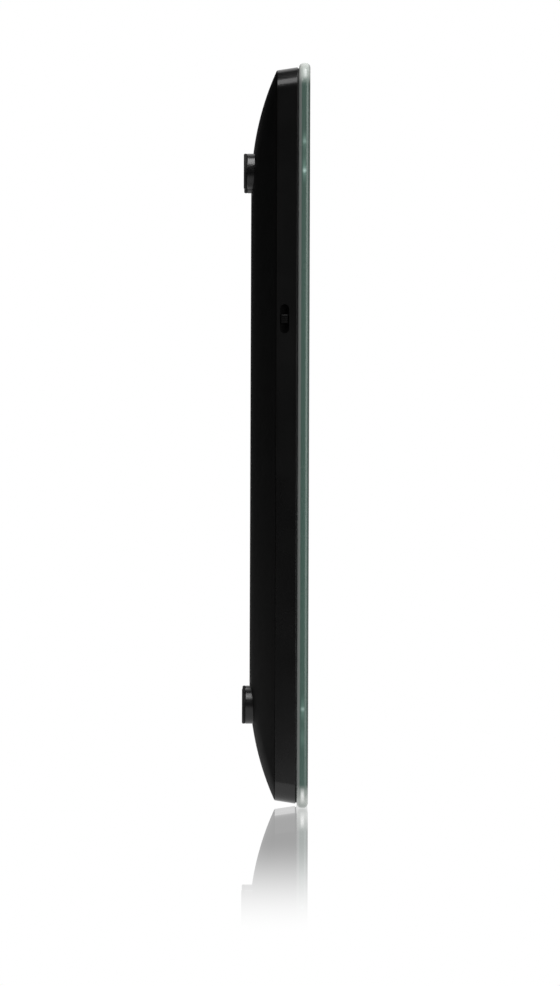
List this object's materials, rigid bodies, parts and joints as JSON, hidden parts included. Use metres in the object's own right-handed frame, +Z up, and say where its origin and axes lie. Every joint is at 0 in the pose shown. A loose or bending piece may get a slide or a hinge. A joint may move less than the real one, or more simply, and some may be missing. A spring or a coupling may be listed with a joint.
{
  "type": "kitchen scale",
  "caption": "Slim flat kitchen scale: a glass platform on a black curved base with small round load-cell feet, a front display and a coin-cell door underneath.",
  "frame": {"origin": "centre of the footprint, on the surface that the feet stand on", "axes": "+Z up, +Y towards the back, display at the front (-Y), +X to the right, where the unit selector is"},
  "size_m": [0.17, 0.23, 0.0205],
  "materials": {
    "platform_glass": "polished, ground edge, green in its thickness",
    "back_print": "black ceramic print fired on the back of the glass",
    "foam_tape": "dark foam tape",
    "housing_plastic": "black moulded plastic with a fine satin texture",
    "knob_plastic": "black, satin",
    "foot_plastic": "dark grey, satin",
    "pad_rubber": "soft black rubber",
    "display_glass": "liquid crystal cell",
    "light_guide": "white light guide",
    "white_plastic": "natural white moulded plastic",
    "contact_rubber": "layered silicone strip",
    "circuit_board": "green solder mask",
    "epoxy": "black epoxy drop",
    "component_metal": "small parts, tinned",
    "spring_wire": "nickel-plated wire",
    "contact_metal": "plated strip",
    "battery_steel": "nickel-plated can",
    "cell_steel": "stamped alloy plate, fine brushed",
    "potting": "white silicone",
    "screw_steel": "zinc-plated",
    "lead_red": "red insulation",
    "lead_black": "black insulation"
  },
  "bodies": {
    "scale": {"glass_platform": "platform_glass", "printed_layer": "back_print", "adhesive_tape": "foam_tape", "upper_housing": "housing_plastic", "lower_housing": "housing_plastic", "lcd_panel": "display_glass", "lcd_backlight": "light_guide", "lcd_holder": "white_plastic", "zebra_strip": "contact_rubber", "main_board": "circuit_board", "controller_chip": "epoxy", "board_components": "component_metal", "lead_connectors": "white_plastic", "touch_spring_left": "spring_wire", "touch_spring_right": "spring_wire", "unit_switch_board": "circuit_board", "unit_switch_body": "component_metal", "unit_switch_lead": "lead_red", "coin_battery": "battery_steel", "battery_contact_positive": "contact_metal", "battery_contact_negative": "contact_metal", "battery_lead_positive": "lead_red", "battery_lead_negative": "lead_black", "load_cell_front_left": "cell_steel", "load_cell_front_right": "cell_steel", "load_cell_back_left": "cell_steel", "load_cell_back_right": "cell_steel", "strain_gauge_front_left": "potting", "strain_gauge_front_right": "potting", "strain_gauge_back_left": "potting", "strain_gauge_back_right": "potting", "sensor_bracket_front_left": "white_plastic", "sensor_bracket_front_right": "white_plastic", "sensor_bracket_back_left": "white_plastic", "sensor_bracket_back_right": "white_plastic", "foot_front_left": "foot_plastic", "foot_front_right": "foot_plastic", "foot_back_left": "foot_plastic", "foot_back_right": "foot_plastic", "foot_pad_front_left": "pad_rubber", "foot_pad_front_right": "pad_rubber", "foot_pad_back_left": "pad_rubber", "foot_pad_back_right": "pad_rubber", "sensor_lead_front_left": "lead_red", "sensor_lead_front_right": "lead_red", "sensor_lead_back_left": "lead_red", "sensor_lead_back_right": "lead_red", "housing_screws": "screw_steel", "bracket_screws": "screw_steel", "board_screws": "screw_steel"},
    "battery_door": {"battery_door": "housing_plastic"},
    "unit_selector": {"unit_slider": "knob_plastic", "unit_switch_lever": "white_plastic"}
  },
  "joints": [
    {"name": "battery_door_hinge", "type": "hinge", "parent": "scale", "child": "battery_door", "pos_m": [0, -0.0082, 0.0035], "axis": [1, 0, 0], "range_deg": [0, 90]},
    {"name": "unit_selector_slide", "type": "slide", "parent": "scale", "child": "unit_selector", "axis": [0, 1, 0], "range_m": [-0.002, 0.002]}
  ]
}
